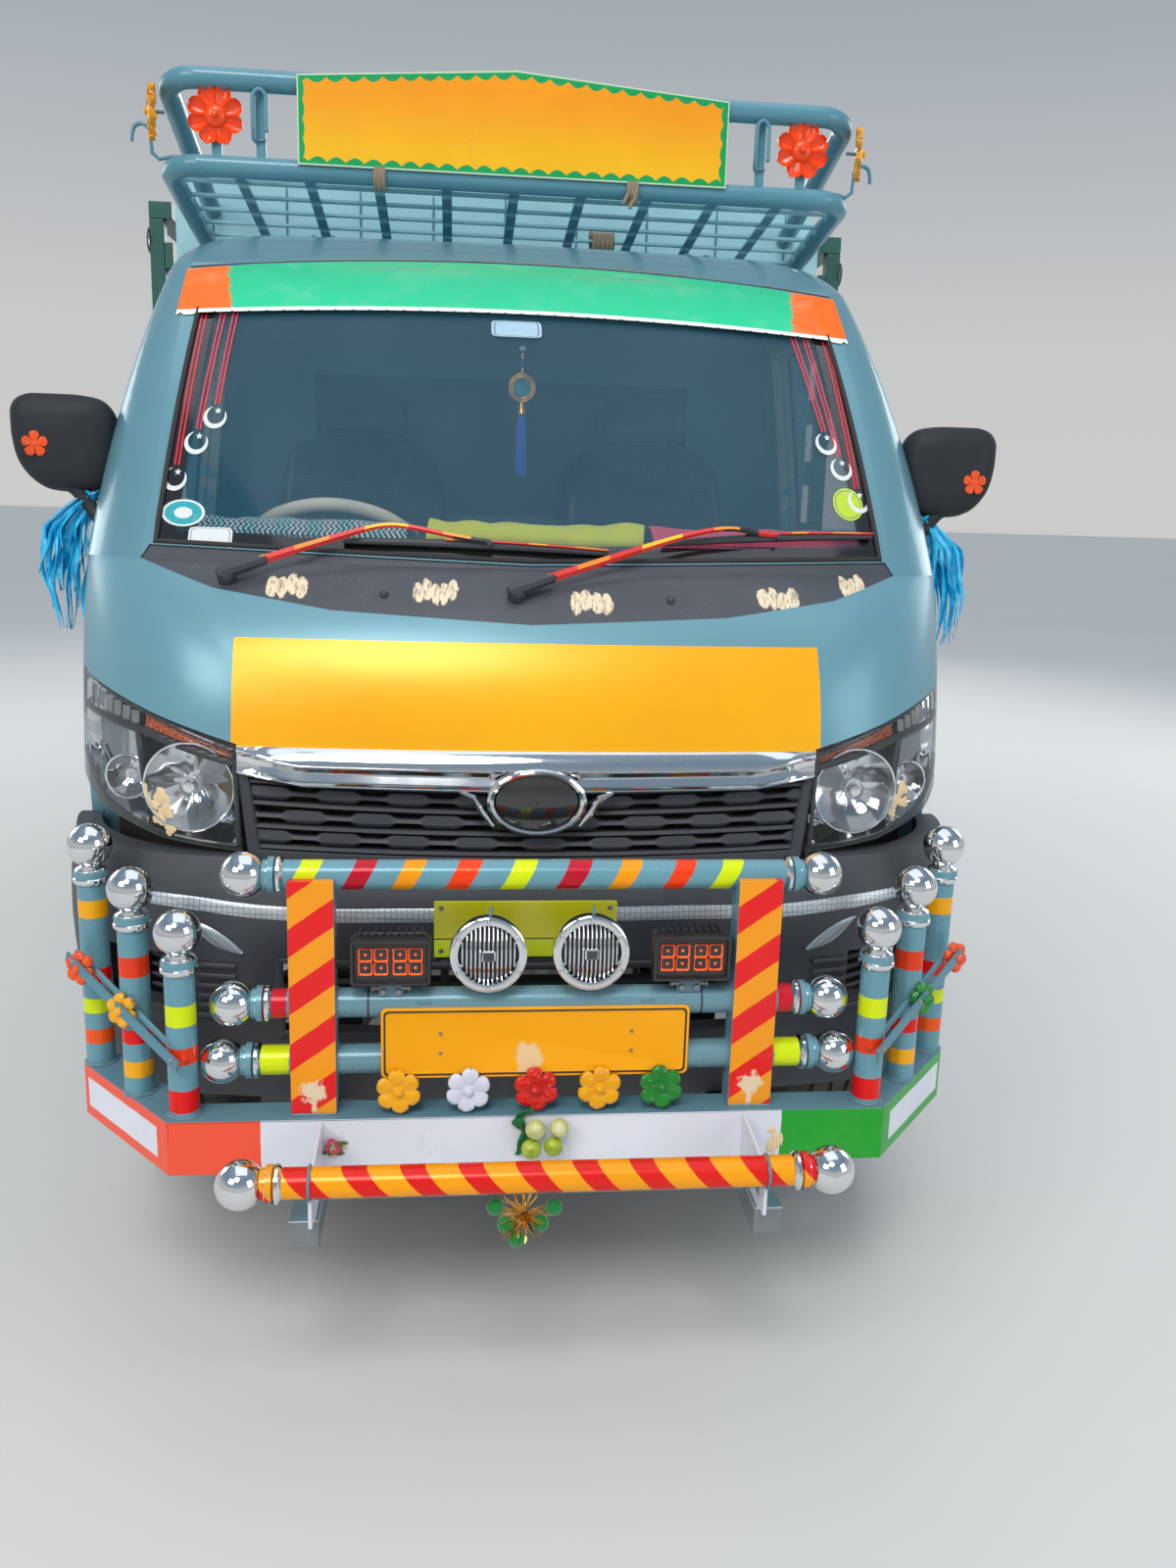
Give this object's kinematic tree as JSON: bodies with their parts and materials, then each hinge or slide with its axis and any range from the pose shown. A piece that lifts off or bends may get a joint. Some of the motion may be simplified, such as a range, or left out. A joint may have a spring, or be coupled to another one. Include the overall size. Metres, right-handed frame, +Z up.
{
  "type": "decorated pick-up truck",
  "caption": "Small right-hand-drive pick-up truck with opening doors and tailgate, steered wheels, slatted load body, painted front guard and overhead crown rack.",
  "frame": {"origin": "centre of the truck's footprint on the ground, under the middle of its overall box", "axes": "+Z up, the truck faces -Y, +X is its left-hand side"},
  "size_m": [2.006, 5.108, 2.44],
  "materials": {
    "lamp_black": "black lamp housing with amber cells",
    "dark_plastic": "grained dark grey moulding",
    "chassis_black": "black chassis paint",
    "glass": "clear laminated glass",
    "body_paint": "metallic teal gloss paint",
    "bare_metal": "bare cast and sheet metal",
    "garland_green": "green cloth with limes and gold tinsel",
    "girder_paint": "orange, white and green enamel bands",
    "chevron_paint": "red and orange chevrons",
    "lamp_lens": "clear lens over a bright reflector",
    "chrome": "bright chrome",
    "deck_steel": "worn painted checker steel",
    "rubber_black": "black rubber sheet",
    "plate_yellow": "blank yellow reflective plate",
    "pendant_blue": "blue tassel on a beaded disc",
    "ribbon_blue": "shredded blue plastic ribbon",
    "rim_silver": "silver painted pressed steel",
    "jute": "twisted jute rope",
    "seat_fabric": "dark woven seat fabric",
    "sign_yellow": "blank yellow-orange enamel with green border",
    "tyre_rubber": "black tyre rubber",
    "beige_cover": "beige stitched cover",
    "red_lens": "red and amber lens"
  },
  "bodies": {
    "truck": {"auxiliary_lamps": "lamp_black", "bumper": "dark_plastic", "cab_floor": "chassis_black", "cab_glass": "glass", "cab_shell": "body_paint", "chassis_frame": "chassis_black", "cowl_panel": "dark_plastic", "crown_rack": "body_paint", "dashboard": "dark_plastic", "engine_block": "bare_metal", "exhaust": "bare_metal", "front_axle": "chassis_black", "front_panel": "body_paint", "garland": "garland_green", "grille": "dark_plastic", "guard_girder": "girder_paint", "guard_posts": "body_paint", "guard_tubes": "body_paint", "guard_uprights": "chevron_paint", "headboard": "body_paint", "headlamps": "lamp_lens", "horns": "chrome", "leaf_springs": "chassis_black", "load_floor": "deck_steel", "mudguards": "rubber_black", "number_plates": "plate_yellow", "pendant_cord": "pendant_blue", "pendant_disc": "pendant_blue", "rear_axle": "chassis_black", "roof_panel": "body_paint", "rope_hank": "jute", "seats": "seat_fabric", "side_tanks": "chassis_black", "side_walls": "body_paint", "sign_board": "sign_yellow", "spare_wheel": "tyre_rubber", "steering_column": "dark_plastic", "tail_lamps": "red_lens", "wipers": "dark_plastic"},
    "door_left": {"door_left": "body_paint", "door_glass_left": "glass", "mirror_left": "dark_plastic", "ribbon_left": "ribbon_blue"},
    "door_right": {"door_right": "body_paint", "door_glass_right": "glass", "mirror_right": "dark_plastic", "ribbon_right": "ribbon_blue"},
    "steering_wheel": {"steering_wheel": "beige_cover"},
    "tailgate": {"tailgate": "body_paint"},
    "knuckle_left": {"knuckle_left": "chassis_black"},
    "knuckle_right": {"knuckle_right": "chassis_black"},
    "wheel_front_left": {"rim_front_left": "rim_silver", "tyre_front_left": "tyre_rubber"},
    "wheel_front_right": {"rim_front_right": "rim_silver", "tyre_front_right": "tyre_rubber"},
    "wheel_rear_left": {"rim_rear_left": "rim_silver", "tyre_rear_left": "tyre_rubber"},
    "wheel_rear_right": {"rim_rear_right": "rim_silver", "tyre_rear_right": "tyre_rubber"}
  },
  "joints": [
    {"name": "steer_left", "type": "hinge", "parent": "truck", "child": "knuckle_left", "pos_m": [0.56, -1.383, 0.352], "axis": [0, 0, 1], "range_deg": [-32, 32]},
    {"name": "steer_right", "type": "hinge", "parent": "truck", "child": "knuckle_right", "pos_m": [-0.56, -1.383, 0.352], "axis": [0, 0, 1], "range_deg": [-32, 32]},
    {"name": "steering_wheel_turn", "type": "hinge", "parent": "truck", "child": "steering_wheel", "pos_m": [-0.39, -1.413, 1.335], "axis": [0, 0.6428, 0.766], "range_deg": [-512, 512]},
    {"name": "spin_front_left", "type": "hinge", "parent": "knuckle_left", "child": "wheel_front_left", "pos_m": [0.7, -1.383, 0.352], "axis": [1, 0, 0], "continuous": true},
    {"name": "spin_front_right", "type": "hinge", "parent": "knuckle_right", "child": "wheel_front_right", "pos_m": [-0.7, -1.383, 0.352], "axis": [1, 0, 0], "continuous": true},
    {"name": "spin_rear_left", "type": "hinge", "parent": "truck", "child": "wheel_rear_left", "pos_m": [0.7, 1.217, 0.352], "axis": [1, 0, 0], "continuous": true},
    {"name": "spin_rear_right", "type": "hinge", "parent": "truck", "child": "wheel_rear_right", "pos_m": [-0.7, 1.217, 0.352], "axis": [1, 0, 0], "continuous": true},
    {"name": "door_left_hinge", "type": "hinge", "parent": "truck", "child": "door_left", "pos_m": [0.838, -1.655, 0.9], "axis": [0, 0, -1], "range_deg": [0, 65]},
    {"name": "door_right_hinge", "type": "hinge", "parent": "truck", "child": "door_right", "pos_m": [-0.838, -1.655, 0.9], "axis": [0, 0, 1], "range_deg": [0, 65]},
    {"name": "tailgate_hinge", "type": "hinge", "parent": "truck", "child": "tailgate", "pos_m": [0, 2.533, 0.838], "axis": [-1, 0, 0], "range_deg": [0, 100]}
  ],
  "couplings": [
    {"joint": "steer_right", "follows": "steer_left", "ratio": 1},
    {"joint": "steering_wheel_turn", "follows": "steer_left", "ratio": 16}
  ]
}
